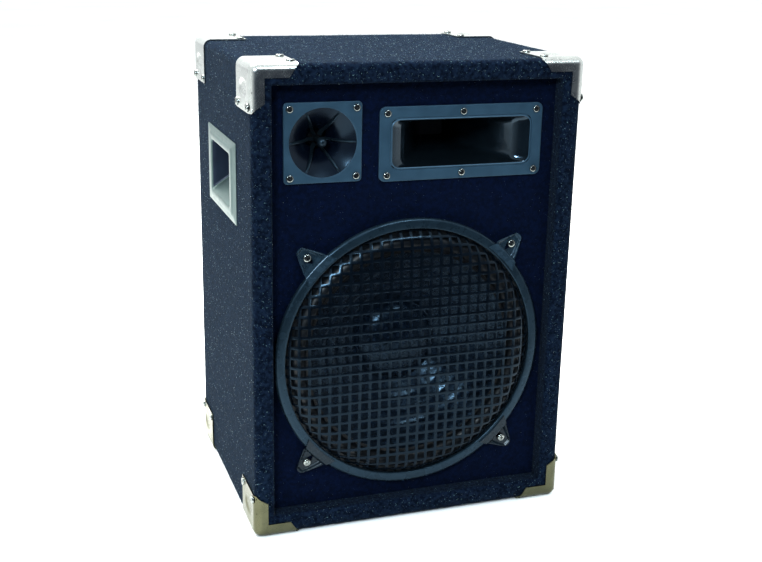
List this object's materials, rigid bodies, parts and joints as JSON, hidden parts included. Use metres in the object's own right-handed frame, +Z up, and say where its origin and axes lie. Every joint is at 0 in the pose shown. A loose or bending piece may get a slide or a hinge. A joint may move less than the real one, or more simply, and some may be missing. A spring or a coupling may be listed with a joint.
{
  "type": "pa speaker cabinet",
  "caption": "Carpet-covered three-way PA loudspeaker cabinet with recessed baffle, square tweeter, wide horn, grilled woofer, metal corners and recessed side handles.",
  "frame": {"origin": "centre of the footprint, on the plane the bottom corner protectors stand on", "axes": "+Z up, -Y out of the front baffle, +X to the right of someone facing the front"},
  "size_m": [0.374, 0.3012, 0.5232],
  "materials": {
    "cabinet_board": "raw particle board, hidden under the carpet",
    "carpet": "slate navy needle-punched cabinet carpet",
    "corner_metal": "bright nickel plated pressed steel",
    "handle_metal": "pale grey satin pressed steel",
    "horn_plastic": "slate moulded plastic, satin plate and glossy flare",
    "bright_screw": "bright plated cross-head pan screws",
    "grille_paint": "dark slate satin paint on steel",
    "cone_paper": "dark coated paper",
    "black_rubber": "dark rubbery roll",
    "basket_paint": "black paint on pressed steel",
    "ferrite": "sintered ferrite",
    "plated_steel": "zinc plated steel",
    "copper_wire": "enamelled copper wire",
    "spider_cloth": "resin-stiffened cotton",
    "circuit_board": "green laminate",
    "red_plastic": "red moulded plastic",
    "black_plastic": "black moulded plastic"
  },
  "bodies": {
    "cabinet": {"baffle_carpet": "carpet", "bottom_panel": "cabinet_board", "carpet_wrap": "carpet", "clamp_bolt_1": "bright_screw", "clamp_bolt_2": "bright_screw", "clamp_bolt_3": "bright_screw", "clamp_bolt_4": "bright_screw", "corner_bottom_front_left": "corner_metal", "corner_bottom_front_right": "corner_metal", "corner_bottom_rear_left": "corner_metal", "corner_bottom_rear_right": "corner_metal", "corner_top_front_left": "corner_metal", "corner_top_front_right": "corner_metal", "corner_top_rear_left": "corner_metal", "corner_top_rear_right": "corner_metal", "crossover_board": "circuit_board", "crossover_capacitor": "black_plastic", "crossover_coil": "copper_wire", "front_baffle": "cabinet_board", "grille_clamp_1": "grille_paint", "grille_clamp_2": "grille_paint", "grille_clamp_3": "grille_paint", "grille_clamp_4": "grille_paint", "grille_mesh": "grille_paint", "grille_ring": "grille_paint", "handle_left": "handle_metal", "handle_right": "handle_metal", "input_jack": "black_plastic", "midrange_driver": "black_plastic", "midrange_horn": "horn_plastic", "midrange_screw_1": "bright_screw", "midrange_screw_2": "bright_screw", "midrange_screw_3": "bright_screw", "midrange_screw_4": "bright_screw", "midrange_screw_5": "bright_screw", "midrange_screw_6": "bright_screw", "rear_panel": "cabinet_board", "side_panel_left": "cabinet_board", "side_panel_right": "cabinet_board", "terminal_plate": "black_plastic", "top_panel": "cabinet_board", "tweeter_driver": "black_plastic", "tweeter_horn": "horn_plastic", "tweeter_phase_plug": "horn_plastic", "tweeter_screw_1": "bright_screw", "tweeter_screw_2": "bright_screw", "tweeter_screw_3": "bright_screw", "tweeter_screw_4": "bright_screw", "woofer_basket": "basket_paint", "woofer_gasket": "black_rubber", "woofer_magnet": "ferrite", "woofer_spider": "spider_cloth", "woofer_surround": "black_rubber", "woofer_top_plate": "plated_steel", "woofer_yoke": "plated_steel"},
    "cone_assembly": {"woofer_cone": "cone_paper", "woofer_dust_cap": "cone_paper", "woofer_voice_coil": "copper_wire"},
    "lever_red": {"clip_lever_red": "red_plastic"},
    "lever_black": {"clip_lever_black": "black_plastic"}
  },
  "joints": [
    {"name": "woofer_excursion", "type": "slide", "parent": "cabinet", "child": "cone_assembly", "axis": [0, -1, 0], "range_m": [-0.004, 0.004], "stiffness_N_per_m": 2500, "deforming": ["woofer_surround", "woofer_spider"]},
    {"name": "red_lever_press", "type": "hinge", "parent": "cabinet", "child": "lever_red", "pos_m": [0.006, 0.1258, 0.291], "axis": [1, 0, 0], "range_deg": [0, 20], "stiffness_Nm_per_rad": 0.15},
    {"name": "black_lever_press", "type": "hinge", "parent": "cabinet", "child": "lever_black", "pos_m": [0.03, 0.1258, 0.291], "axis": [1, 0, 0], "range_deg": [0, 20], "stiffness_Nm_per_rad": 0.15}
  ]
}
